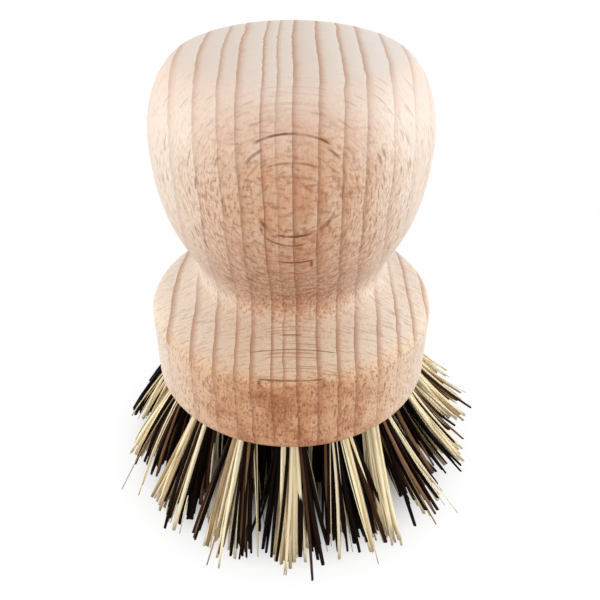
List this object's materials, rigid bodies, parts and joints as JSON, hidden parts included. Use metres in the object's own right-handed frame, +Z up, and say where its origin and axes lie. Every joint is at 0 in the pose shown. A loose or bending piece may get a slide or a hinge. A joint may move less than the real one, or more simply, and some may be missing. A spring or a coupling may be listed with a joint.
{
  "type": "pot brush",
  "caption": "Round pot brush for scrubbing pans: a turned beech knob handle with a waist for the fingers, on a drilled foot set with splayed tufts of stiff plant fibre.",
  "frame": {"origin": "on the ground below the middle of the brush, which stands on its fibre tips", "axes": "+Z up along the handle's turned axis, +X to the right and -Y towards the viewer of the picture"},
  "size_m": [0.083, 0.083, 0.089],
  "materials": {
    "beech": "turned and sanded, bare",
    "pale_fibre": "natural stiff plant fibre",
    "dark_fibre": "black-brown stiff plant fibre",
    "anchor_wire": "drawn flat wire"
  },
  "bodies": {
    "root": {"handle": "beech", "tuft_inner_01": "dark_fibre", "anchor_inner_01": "anchor_wire", "tuft_inner_02": "dark_fibre", "anchor_inner_02": "anchor_wire", "tuft_inner_03": "dark_fibre", "anchor_inner_03": "anchor_wire", "tuft_inner_04": "dark_fibre", "anchor_inner_04": "anchor_wire", "tuft_middle_01": "dark_fibre", "anchor_middle_01": "anchor_wire", "tuft_middle_02": "dark_fibre", "anchor_middle_02": "anchor_wire", "tuft_middle_03": "dark_fibre", "anchor_middle_03": "anchor_wire", "tuft_middle_04": "dark_fibre", "anchor_middle_04": "anchor_wire", "tuft_middle_05": "dark_fibre", "anchor_middle_05": "anchor_wire", "tuft_middle_06": "dark_fibre", "anchor_middle_06": "anchor_wire", "tuft_middle_07": "dark_fibre", "anchor_middle_07": "anchor_wire", "tuft_middle_08": "dark_fibre", "anchor_middle_08": "anchor_wire", "tuft_middle_09": "dark_fibre", "anchor_middle_09": "anchor_wire", "tuft_outer_01": "pale_fibre", "anchor_outer_01": "anchor_wire", "tuft_outer_02": "pale_fibre", "anchor_outer_02": "anchor_wire", "tuft_outer_03": "pale_fibre", "anchor_outer_03": "anchor_wire", "tuft_outer_04": "pale_fibre", "anchor_outer_04": "anchor_wire", "tuft_outer_05": "pale_fibre", "anchor_outer_05": "anchor_wire", "tuft_outer_06": "pale_fibre", "anchor_outer_06": "anchor_wire", "tuft_outer_07": "pale_fibre", "anchor_outer_07": "anchor_wire", "tuft_outer_08": "pale_fibre", "anchor_outer_08": "anchor_wire", "tuft_outer_09": "pale_fibre", "anchor_outer_09": "anchor_wire", "tuft_outer_10": "pale_fibre", "anchor_outer_10": "anchor_wire", "tuft_outer_11": "pale_fibre", "anchor_outer_11": "anchor_wire", "tuft_outer_12": "pale_fibre", "anchor_outer_12": "anchor_wire", "tuft_outer_13": "pale_fibre", "anchor_outer_13": "anchor_wire", "tuft_outer_14": "pale_fibre", "anchor_outer_14": "anchor_wire", "tuft_outer_15": "pale_fibre", "anchor_outer_15": "anchor_wire", "tuft_outer_16": "pale_fibre", "anchor_outer_16": "anchor_wire"}
  },
  "joints": []
}
